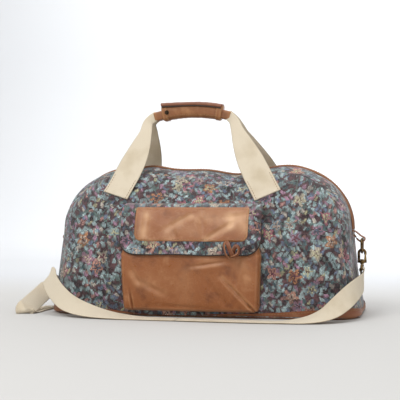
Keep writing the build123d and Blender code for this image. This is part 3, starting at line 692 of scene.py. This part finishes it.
# folds pressed into leather: (start, end, width, depth), on the pocket's own plane
pouchFolds = (
    ((54, 69), (106, 16), 9, 4.0), ((9, 86), (56, 93), 9, 3.4), ((-101, 42), (-97, 12), 6, 5.0),
    ((96, 26), (108, 14), 6, 5.0), ((-97, 78), (-84, 54), 13, 3.2), ((-80, 58), (-40, 38), 15, 3.0),
    ((84, 98), (74, 52), 16, 3.4), ((-4, 78), (-6, 22), 24, 2.6), ((-60, 20), (40, 16), 12, 2.0),
    ((30, 60), (60, 26), 20, 2.4),
)
inlayFolds = (
    ((-74, 176), (-77, 134), 17, 3.0), ((-34, 150), (6, 172), 15, 2.8), ((-30, 148), (-20, 128), 16, 2.4),
    ((26, 128), (72, 158), 14, 3.0), ((18, 176), (24, 132), 18, 2.4), ((60, 166), (92, 170), 14, 2.2),
)
# painted highlights, laid as pale streaks and spots: (start, end, width, strength)
pouchHighlights = (
    ((56, 69), (104, 20), 3.5, 0.7), ((6, 84), (56, 91), 4, 0.55), ((-98, 76), (-85, 56), 7, 0.6),
    ((-78, 58), (-44, 40), 9, 0.4), ((86, 96), (98, 66), 15, 0.45), ((-5, 74), (-6, 26), 15, 0.25),
    ((20, 100), (50, 96), 6, 0.4), ((-60, 66), (-20, 60), 16, 0.2),
)
inlayHighlights = (
    ((-75, 170), (-77, 138), 9, 0.85), ((-30, 154), (2, 168), 6, 0.6), ((-36, 148), (-33, 132), 10, 0.45),
    ((20, 168), (90, 163), 11, 0.4), ((28, 130), (72, 156), 6, 0.7), ((72, 158), (94, 152), 12, 0.6),
    ((-10, 150), (12, 146), 14, 0.25), ((60, 170), (92, 172), 7, 0.4),
)


# how far along a crease a point lies, how far to its side, and how far off it
def besideCrease(x, z, start, end):
    dx, dz = end[0] - start[0], end[1] - start[1]
    px, pz = x - start[0], z - start[1]
    t = clamp((px * dx + pz * dz) / (dx * dx + dz * dz))
    across = (px * dz - pz * dx) / sqrt(dx * dx + dz * dz)
    return t, across, sqrt((px - t * dx) ** 2 + (pz - t * dz) ** 2)


# a fold is a sharp valley in a low swell, and fades towards both ends
def foldDepth(x, z, folds):
    push = 0
    for start, end, width, depth in folds:
        t, across, off = besideCrease(x, z, start, end)
        valley = 0.35 - bell(across, 0.35 * width)
        push += depth * bell(off, width) * valley * sin(pi * (0.12 + 0.76 * t))
    return push


# how strongly a point gets painted highlight, broken up a little by noise
def highlightAt(x, z, rubs):
    patchy = 0.75 + 0.5 * noiseAt(x * 0.08, z * 0.08, 6)
    total = 0
    for start, end, width, strength in rubs:
        total += strength * bell(besideCrease(x, z, start, end)[2], width)
    return clamp(total * patchy)


rows = []
for i in range(pocket["rows"]):
    z = pocket["low"] + (pocket["mouth"] - pocket["low"]) * i / (pocket["rows"] - 1)
    tuck = pocket["tuck"] * clamp((z - pocket["tuckFrom"]) / pocket["tuckRun"])
    half = pocket["half"] + pocket["flare"] * (z - pocket["flareFrom"]) - tuck
    row = []
    for j in range(pocket["cols"]):
        share = j / (pocket["cols"] - 1)
        x = half * (share - 0.5 - 0.5 * cos(pi * share))
        side = 1 if x > 0 else -1
        near = clamp(min(half - abs(x), z - pocket["low"]) / pocket["round"])
        ease = rounded(near)
        cornerX = max(0, abs(x) - half + pocket["corner"])
        cornerZ = max(0, pocket["low"] + pocket["corner"] - z)
        shrink = max(0, sqrt(cornerX**2 + cornerZ**2) - pocket["corner"])
        off = 0.6 + pocket["deep"] * ease + foldDepth(x, z, pouchFolds) * ease
        off += 1.4 * noiseAt(x * 0.02, z * 0.02, 3) * ease - 0.6 * shrink
        pull = shrink * 0.5
        row.append((pocket["shift"] + x - pull * side, -halfDepth(z) - max(0.4, off), z + pull, x, z,
                    highlightAt(x, z, pouchHighlights)))
    rows.append(row)
pouch = gridMesh("pocket_leather", rows, pocketLeather, thick=pocket["wall"])
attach(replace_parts(pouch, "pocket_pouch"), "bag")


# half the width at height z of a patch with rounded corners
def cornered(z, low, high, half, lowCorner, highCorner):
    drop = 0
    if z < low + lowCorner:
        drop = lowCorner - sqrt(max(0, lowCorner**2 - (low + lowCorner - z) ** 2))
    if highCorner and z > high - highCorner:
        drop = highCorner - sqrt(max(0, highCorner**2 - (z - high + highCorner) ** 2))
    return half - drop


# how far the flap stands off the panel: sewn down at the top, lifting a little at the hem
def flapLift(x, z):
    top = clamp((pocket["flapTop"] - z) / pocket["flapFold"])
    lift = (pocket["flapLift"] + pocket["flapSunk"]) * rounded(top) - pocket["flapSunk"]
    lift += 1.6 * noiseAt(x * 0.016, z * 0.02, 11)
    hem = pocket["hemLift"] + 1.2 * noiseAt(x * 0.03, 4, 2)
    return lift + hem * bell(z - pocket["flapLow"], pocket["hemHigh"])


rows = []
for i in range(pocket["flapRows"]):
    share = i / (pocket["flapRows"] - 1)
    z = pocket["flapTop"] - (pocket["flapTop"] - pocket["flapLow"]) * sin(pi / 2 * share) ** 0.9
    half = cornered(z, pocket["flapLow"], pocket["flapTop"], pocket["flapHalf"], pocket["flapCorner"], 0)
    row = []
    for j in range(pocket["flapCols"]):
        x = half * (2 * j / (pocket["flapCols"] - 1) - 1)
        hem = 1.4 * noiseAt(x * 0.02, 9, 1) * share
        edge = min(1, (half - abs(x)) / 5 + 0.3)
        row.append((pocket["shift"] + x, -halfDepth(z) - flapLift(x, z) * (0.9 + 0.1 * edge), z + hem,
                    x + patternCut["flapX"], z * 1.1 + patternCut["flapZ"]))
    rows.append(row[::-1])
flap = gridMesh("flap_cloth", rows, tapestry, thick=pocket["flapWall"])
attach(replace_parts(flap, "pocket_flap"), "bag")
# the flap's turned lower edge, with a strip of dark tape beneath it as a painted shadow line under the flap
shadowRows = rows[pocket["shadowFrom"] :]
hem = [r[-1] for r in shadowRows] + row[4:-4:4] + [r[0] for r in reversed(shadowRows)]
stations = [((cell[0], cell[1] + 1.4, cell[2] - 0.5), (0, -1, 0.1), 3.2, 2.0) for cell in hem]
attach(sweepStrip("flap_shadow_strip", stations, darkTape, sides=4), "bag")

rows = []
middle = (pocket["inlayLeft"] + pocket["inlayRight"]) / 2
halfInlay = (pocket["inlayRight"] - pocket["inlayLeft"]) / 2
for i in range(pocket["inlayRows"]):
    z = pocket["inlayTop"] - (pocket["inlayTop"] - pocket["inlayLow"]) * i / (pocket["inlayRows"] - 1)
    half = cornered(z, pocket["inlayLow"], pocket["inlayTop"], halfInlay, pocket["inlayCorner"],
                    pocket["inlayTopCorner"])
    row = []
    for j in range(pocket["inlayCols"]):
        x = middle + half * (2 * j / (pocket["inlayCols"] - 1) - 1)
        inside = min(half - abs(x - middle), z - pocket["inlayLow"], pocket["inlayTop"] - z)
        edge = min(1, inside / pocket["inlayEdge"])
        lift = flapLift(x, z) + 0.4 + 1.6 * sqrt(max(0, edge)) + max(-1.6, foldDepth(x, z, inlayFolds)) * edge
        row.append((pocket["shift"] + x, -halfDepth(z) - lift, z, x, z, highlightAt(x, z, inlayHighlights)))
    rows.append(row[::-1])
inlay = gridMesh("inlay_leather", rows, inlayLeather)
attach(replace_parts(inlay, "flap_inlay"), "bag")
left, right = pocket["inlayLeft"] + pocket["stitchIn"], pocket["inlayRight"] - pocket["stitchIn"]
low, high = pocket["inlayLow"] + pocket["stitchIn"], pocket["inlayTop"] - pocket["stitchIn"]
line = []
for x0, z0, x1, z1, steps in ((left, low, right, low, 120), (right, low, right, high, 40),
                              (right, high, left, high, 120)):
    for k in range(steps + 1):
        x, z = x0 + (x1 - x0) * k / steps, z0 + (z1 - z0) * k / steps
        line.append((pocket["shift"] + x, -halfDepth(z) - flapLift(x, z) - pocket["stitchProud"], z))
stitchRow("inlay_stitches", line, [(0, -1, 0.2)] * len(line))

toggle = {"x": 66, "z": 113.5, "proud": 8, "strip": 7.6, "wall": 2.6}
depth = -halfDepth(toggle["z"]) - pocket["flapLift"] - toggle["proud"]
loops = (
    [(-12, 3, 13), (-13, -2, 8), (-11, -4, 0), (-9, -3, -7), (-6, 1, -12)],
    [(-10, 2, 13), (-6, -4, 10), (-3, -6, 3), (0, -6, -4), (3, -2, -10)],
    [(1, 1, -8), (3, -4, -1), (7, -5, 6), (11, -3, 6), (12, -2, 0), (10, -3, -6), (5, -4, -9), (0, 0, -10)],
)
for k, loop in enumerate(loops):
    stations = [((toggle["x"] + x, depth + y, toggle["z"] + z), (x * 0.3, -1, z * 0.3), toggle["strip"],
                 toggle["wall"]) for x, y, z in loop]
    knot = sweepStrip("toggle_strip_%d" % k, smoothed(stations, 5), baseLeather, sides=5)
    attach(knot, "bag")
    if k == 0:
        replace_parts(knot, "toggle_knot")
print("pocket made")

# Handles: flat webbing folded into the grip, spreading down each leg to a sewn foot
handle = {
    "width": 48, "wall": 2.4, "spacing": 264, "shift": -16, "foot": 203, "folded": 17, "foldedWall": 5,
    "gripX": -32, "gripZ": 354, "gripRadius": 260, "gripLong": 107, "sleeveLong": 138, "overrun": 9,
    "offset": 4.8, "tuckedIn": 0.06, "rightIn": 5, "clear": 0.6, "clearBelow": 247, "footSteps": 14,
    "seamShare": 0.42,
}
# down each leg: the share of the drop, how far the webbing has opened, and how far it leans back
legShares = ((0.06, 0.02, 0.1), (0.2, 0.2, 0.3), (0.32, 0.5, 0.4), (0.45, 0.76, 0.5), (0.58, 0.94, 0.5),
             (0.74, 1, 0.65), (0.87, 1, 0.8), (1, 1, 0.6))
# how strongly the left and right legs bow
legBends = {-1: 1.6, 1: 1.15}


def gripPoint(angle, rise=0):
    radius = handle["gripRadius"] + rise
    return handle["gripX"] + radius * sin(angle), handle["gripZ"] - handle["gripRadius"] + radius * cos(angle)


def legStations(side, front):
    end = asin((handle["sleeveLong"] / 2 + handle["overrun"]) / handle["gripRadius"])
    startX, startZ = gripPoint(side * end)
    startX -= handle["rightIn"] if side > 0 else 0
    startY = -handle["offset"]
    footX = handle["shift"] + side * handle["spacing"] / 2
    footY = -halfDepth(handle["foot"]) - handle["wall"]
    inX, inZ = gripPoint(side * (end - handle["tuckedIn"]))
    stations = [((inX, front * startY, inZ), (0, -front, 0), handle["folded"], handle["foldedWall"])]
    for drop, opened, lean in legShares:
        x = startX + (footX - startX) * drop ** legBends[side]
        z = startZ + (handle["foot"] - startZ) * drop
        clear = halfDepth(z) + handle["wall"] + handle["clear"] if z < handle["clearBelow"] else 0
        y = min(startY + (footY - startY) * drop, -clear)
        width = handle["folded"] + (handle["width"] - handle["folded"]) * opened
        wall = handle["foldedWall"] + (handle["wall"] - handle["foldedWall"]) * opened
        stations.append(((x, front * y, z), (0, -front, lean), width, wall))
    return stations


for name, front in (("front_handle", 1), ("rear_handle", -1)):
    for label, side in (("left", -1), ("right", 1)):
        stations = smoothed(legStations(side, front), 8)
        leg = sweepStrip(name + "_" + label + "_leg", stations, webbing, sides=12)
        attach(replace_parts(leg, name), "bag")
        foot = stations[-handle["footSteps"] :]
        for edge in (-handle["seamShare"], handle["seamShare"]):
            line, outward = [], []
            for k, (place, facing, width, wall) in enumerate(foot):
                normal, across = stationAxes(foot, k)
                line.append(Vector(place) + across * (edge * width) + normal * (wall / 2))
                outward.append(normal)
            stitchRow("%s_%s_stitches_%d" % (name, label, edge > 0), line, outward)

# Grip: two rolled sleeves inside a wrap, whose flap folds over the top, bound by a band at each end
grip = {
    "steps": 40, "cornerSteps": 5, "roll": (9, 16, 3.4), "rollDrop": -2, "wrap": (24, 26, 8), "flapKick": 4.5,
    "shadowStripKick": 4, "band": (25.4, 27.4, 8.6), "bandSteps": 6, "bandIn": 0.002, "bandWide": 0.036,
    "bandMiddle": 1 + 0.4 / 13, "bandEdge": 1 - 0.8 / 13, "bandStitchIn": 0.034, "bandStitch": 1.045,
    "stitch": 2.4, "stitchGap": 1.4, "seamY": 13.0, "seamShare": 0.86, "seamRise": -8.5, "seamWave": 1.4,
}


# a closed profile of (y, rise) drawn along the arc of the grip, its left end kicked up
def arcStrip(name, profile, half, material, wave=0.0, seed=0, kick=0):
    rows = []
    for i in range(grip["steps"] + 1):
        angle = half * (2 * i / grip["steps"] - 1)
        row = []
        for k, (y, rise) in enumerate(profile):
            bump = wave * noiseAt(angle * 60, y * 0.15, rise * 0.15 + seed)
            swell = 1 + bump / (sqrt(y * y + rise * rise) or 1)
            x, z = gripPoint(angle, rise * swell + kick * max(0, -angle / half) ** 2)
            row.append((x, y * swell, z, 2 * k, handle["gripRadius"] * angle))
        rows.append(row)
    return gridMesh(name, rows, material, closed=True, capped=True)


def roundedProfile(width, high, corner, centreY=0, centreZ=0):
    out = []
    for q, (sy, sz) in enumerate(((1, -1), (1, 1), (-1, 1), (-1, -1))):
        for k in range(grip["cornerSteps"] + 1):
            turn = pi / 2 * (q - 1 + k / grip["cornerSteps"])
            out.append((centreY + sy * (width / 2 - corner) + corner * cos(turn),
                        centreZ + sz * (high / 2 - corner) + corner * sin(turn)))
    return out


sleeveHalf = asin(handle["sleeveLong"] / 2 / handle["gripRadius"])
gripHalf = asin(handle["gripLong"] / 2 / handle["gripRadius"])
for name, side, node in (("front_roll", -1, "front_sleeve"), ("rear_roll", 1, "rear_sleeve")):
    profile = roundedProfile(*grip["roll"], centreY=side * handle["offset"], centreZ=grip["rollDrop"])
    roll = arcStrip(name, profile, sleeveHalf, gripLeather, wave=0.3, seed=side)
    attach(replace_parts(roll, node), "bag")
wrap = arcStrip("grip_leather", roundedProfile(*grip["wrap"]), gripHalf, gripLeather, wave=0.7,
                seed=5)
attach(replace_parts(wrap, "grip_wrap"), "bag")
flapProfile = [(-13.6, 8.4), (-13.2, 11.6), (-10, 14.2), (0, 15.6), (9, 14.4), (9, 12.6), (0, 13.6), (-9, 12.2),
               (-11.8, 10.2), (-12.4, 8.4)]
wrapFlap = arcStrip("grip_flap", flapProfile, gripHalf * 0.98, baseLeather, wave=0.5, seed=9,
                    kick=grip["flapKick"])
# a dark strip under the front edge of the grip's flap, a painted shadow line between the flap and the wrap
shadowStripProfile = [(-13.8, 6.6), (-13.8, 8.6), (-12, 8.6), (-12, 6.6)]
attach(arcStrip("grip_flap_shadow_strip", shadowStripProfile, gripHalf * 0.97, darkTape, kick=grip["shadowStripKick"]),
        "bag")
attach(wrapFlap, "bag")
band = roundedProfile(*grip["band"])
for name, side in (("grip_band_left", -1), ("grip_band_right", 1)):
    rows = []
    for i in range(grip["bandSteps"] + 1):
        angle = side * (gripHalf - grip["bandIn"] - grip["bandWide"] * i / grip["bandSteps"])
        swell = grip["bandMiddle"] if 0 < i < grip["bandSteps"] else grip["bandEdge"]
        row = []
        for k, (y, rise) in enumerate(band):
            x, z = gripPoint(angle, rise * swell)
            row.append((x, y * swell, z, k, i))
        rows.append(row)
    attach(gridMesh(name, rows[::-side], gripLeather, closed=True, capped=True), "bag")
    line = []
    for y, rise in band:
        x, z = gripPoint(side * (gripHalf - grip["bandStitchIn"]), rise * grip["bandStitch"])
        line.append((x, y * grip["bandStitch"], z))
    stitchRow(name + "_stitches", line, [(0, y, rise) for y, rise in band], grip["stitch"], grip["stitchGap"])
for label, y in (("front", -grip["seamY"]), ("rear", grip["seamY"])):
    line = []
    for k in range(61):
        angle = gripHalf * grip["seamShare"] * (2 * k / 60 - 1)
        x, z = gripPoint(angle, grip["seamRise"] + grip["seamWave"] * abs(sin(k * pi / 6)))
        line.append((x, y * 0.985, z))
    stitchRow("grip_" + label + "_stitches", line, [(0, y, -2)] * len(line), grip["stitch"], grip["stitchGap"])
print("handles made")

# Shoulder strap: one length of webbing from the right eye, over the floor in front, to the loose tail on the
# left, as (place, facing)
strapRoute = (
    ((264.7, 0, 50), (-1, 0, 0)), ((264.7, 0, 68), (-1, 0, 0)), ((262.6, 0, 76), (-1, 0, 0)),
    ((263.6, 0, 78.4), (-1, 0, 1)), ((266, 0, 79.4), (0, 0, 1)), ((268.4, 0, 78.4), (1, 0, 1)),
    ((269.4, 0, 76), (1, 0, 0)), ((267.5, 0, 68), (1, 0, 0)), ((268.4, -5, 60), (1, 0, 0)),
    ((269.2, -19, 57), (1, 0, 0)), ((269.2, -45, 56), (1, -0.15, 0.05)), ((265, -77, 52), (0.88, -0.45, 0.15)),
    ((255, -104, 43), (0.65, -0.68, 0.33)), ((240, -127, 29), (0.35, -0.65, 0.6)),
    ((221, -147, 15), (0.1, -0.5, 0.85)), ((192, -159, 6), (0, -0.25, 0.97)), ((150, -164, 1.8), (0, 0, 1)),
    ((95, -166, 1.5), (0, 0, 1)), ((40, -165, 1.5), (0, 0, 1)), ((-20, -163, 1.5), (0, 0, 1)),
    ((-80, -161, 1.8), (0, -0.03, 1)), ((-130, -160, 5), (-0.02, -0.2, 0.97)),
    ((-175, -156, 12), (-0.1, -0.5, 0.85)), ((-212, -144, 22), (-0.3, -0.65, 0.65)),
    ((-237, -130, 37), (-0.4, -0.75, 0.5)), ((-258, -107, 53), (-0.4, -0.8, 0.4)),
    ((-269.5, -84, 63), (-0.5, -0.7, 0.58)), ((-275.5, -63, 60), (-0.95, -0.3, 0.15)),
    ((-276, -43, 49), (-1, -0.1, 0)), ((-273, -21, 40), (-1, 0, 0)),
    ((-268.4, -7, 39), (-1, 0, 0)), ((-265.4, -1, 46), (-1, 0, 0)), ((-264.7, 0, 52), (-1, 0, 0)),
    ((-264.7, 0, 69), (-1, 0, 0)), ((-262.6, 0, 76), (-1, 0, 0)), ((-263.6, 0, 78.4), (-1, 0, -1)),
    ((-266, 0, 79.4), (0, 0, -1)), ((-268.4, 0, 78.4), (1, 0, -1)), ((-269.4, 0, 76), (1, 0, 0)),
    ((-267.3, 0, 69), (1, 0, 0)), ((-267.3, 0, 50), (1, 0, 0)), ((-267.6, 0, 45), (1, 0, 0)),
    ((-273, -2, 41.5), (0.7, 0, -0.6)), ((-283, -11, 40), (0.1, 0.1, -0.95)),
    ((-290.6, -30, 38.6), (-0.5, 0.25, -0.8)),
    ((-293.5, -50, 31), (-0.655, 0.281, -0.702)), ((-295.2, -70, 24.5), (-0.655, 0.281, -0.702)),
    ((-296.5, -92, 18), (-0.65, 0.4, -0.6)), ((-297, -112, 12.5), (-0.6, 0.6, -0.5)),
    ((-299, -123, 8), (-0.35, 0.93, 0)), ((-298, -119, 2.6), (-0.1, 0.6, 0.8)),
    ((-296, -103, 1.5), (0, 0, 1)), ((-296, -75, 1.5), (0, 0, 1)), ((-295, -40, 1.5), (0, 0, 1)),
    ((-293, -8, 1.5), (0, 0, 1)),
)
strap = {"width": 32, "wall": 2.2, "split": 19}
stations = [(place, facing, strap["width"], strap["wall"]) for place, facing in strapRoute]
halves = (
    ("strap_right", stations[: strap["split"] + 1], "right_ring", (0.27, -0.03, 0.045), (0.266, 0.0, 0.064)),
    ("strap_left", stations[strap["split"] :], "left_ring", (-0.27, -0.03, 0.035), (-0.266, 0.0, 0.062)),
)
for name, part, ring, start, end in halves:
    fine = smoothed(part, 5)
    piece = sweepStrip(name, fine, webbing, sides=10)
    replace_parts(piece, "shoulder_strap")
    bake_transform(piece)

# Ring tabs: leather folded round the ring, as (x, z, facing x, facing z)
tab = {"width": 25, "wall": 2.2}
tabRoute = (
    (249, 143, 0.5, 0.9), (256, 140.5, 0.5, 0.9), (264, 134, 0.5, 0.9), (269.5, 131, 0.8, 0.6), (270.8, 128, 1, 0),
    (269, 124.5, 0.6, -0.8), (265, 123.4, 0.6, -0.8), (259, 127, 0.6, -0.8), (252, 136, 0.6, -0.8),
)
for name, side in (("left_ring_tab", -1), ("right_ring_tab", 1)):
    stations = [((side * x, 0, z), (side * nx, 0, nz), tab["width"], tab["wall"]) for x, z, nx, nz in tabRoute]
    piece = sweepStrip(name + "_leather", smoothed(stations, 4), baseLeather, sides=8)
    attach(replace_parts(piece, name), "bag")

# Metal carried over from the solids
for name in ("zip_slider", "zip_pull", "grip_stud", "left_d_ring", "right_d_ring", "left_snap_hook",
             "right_snap_hook", "left_hook_gate", "right_hook_gate", "left_gate_pin", "right_gate_pin",
             "left_swivel_eye", "right_swivel_eye", "strap_slide"):
    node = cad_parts[name]
    node.data.materials.clear()
    node.data.materials.append(blackenedBrass if name == "grip_stud" else brass)
print("strap and metal made")

# Stage: a pale sweep, soft light from above and the left, and a level camera
floorMaterial, tree = newMaterial("paperSweep")
speck = addNode(tree, "TexNoise", {"Scale": 300.0})["Fac"]
place = addNode(tree, "SeparateXYZ", {"Vector": addNode(tree, "TexCoord", {})["Object"]})
back = addNode(tree, "MapRange", {"Value": place[1], 1: 0.2, 2: 0.7, 3: 0.0, 4: 1.0})[0]
paper = addNode(tree, "MixRGB", {"Fac": back, 1: linear("C7C6C4"), 2: linear("C8CACD")})[0]
# the sweep turns paler as it curves up into the wall, a painted pool of light standing in for the better-lit
# backdrop
paintedWallLight = addNode(tree, "MapRange", {"Value": place[1], 1: 1.3, 2: 2.4, 3: 0.0, 4: 1.0})[0]
paper = addNode(tree, "MixRGB", {"Fac": paintedWallLight, 1: paper, 2: linear("E2E4E7")})[0]
finishMaterial(tree, paper, 0.9, speck, 0.05 * mm)
sweep = {"front": -3000, "bend": 2200, "radius": 900, "top": 4000, "half": 5000, "steps": 12}
profile = [(sweep["front"], 0), (0, 0)]
for k in range(sweep["steps"] + 1):
    turn = pi / 2 * k / sweep["steps"]
    profile.append((sweep["bend"] + sweep["radius"] * sin(turn), sweep["radius"] * (1 - cos(turn))))
profile.append((sweep["bend"] + sweep["radius"], sweep["top"]))
rows = [[(-sweep["half"], y, z, 0, 0), (sweep["half"], y, z, 1, 0)] for y, z in profile]
floor = gridMesh("paper_sweep", rows, floorMaterial)
world = bpy.data.worlds.new("studio")
world.use_nodes = True
world.node_tree.nodes["Background"].inputs["Color"].default_value = linear("FBFAF8")
world.node_tree.nodes["Background"].inputs["Strength"].default_value = 0.5
bpy.context.scene.world = world
lamps = (
    ("key", (-0.7, -1.6, 1.9), (0, 0, 0.15), 1.5, 34),
    ("fill", (1.6, -1.4, 1.0), (0, 0, 0.15), 1.6, 9),
    ("top", (0.1, 0.4, 2.2), (0, 0, 0.2), 1.8, 20),
    ("backdrop", (0.1, 1.5, 2.2), (0.1, 3.1, 1.0), 2.6, 60),
)
for name, place, aim, size, power in lamps:
    lamp = bpy.data.lights.new(name, "AREA")
    lamp.size = size
    lamp.energy = power
    piece = bpy.data.objects.new(name, lamp)
    piece.location = place
    piece.rotation_euler = (Vector(aim) - Vector(place)).to_track_quat("-Z", "Y").to_euler()
    bpy.context.collection.objects.link(piece)
print("stage made")

view = {"turn": radians(12), "distance": 1.8, "height": 0.195, "lens": 91.5, "sensor": 36, "shift": -0.02625}
camera = bpy.data.objects.new("camera", bpy.data.cameras.new("camera"))
camera.location = (view["distance"] * sin(view["turn"]), -view["distance"] * cos(view["turn"]), view["height"])
camera.rotation_euler = (pi / 2, 0, view["turn"])
camera.data.lens = view["lens"]
camera.data.sensor_width = view["sensor"]
camera.data.shift_x = view["shift"]
bpy.context.collection.objects.link(camera)
bpy.context.scene.camera = camera
bpy.context.scene.view_settings.view_transform = "Standard"
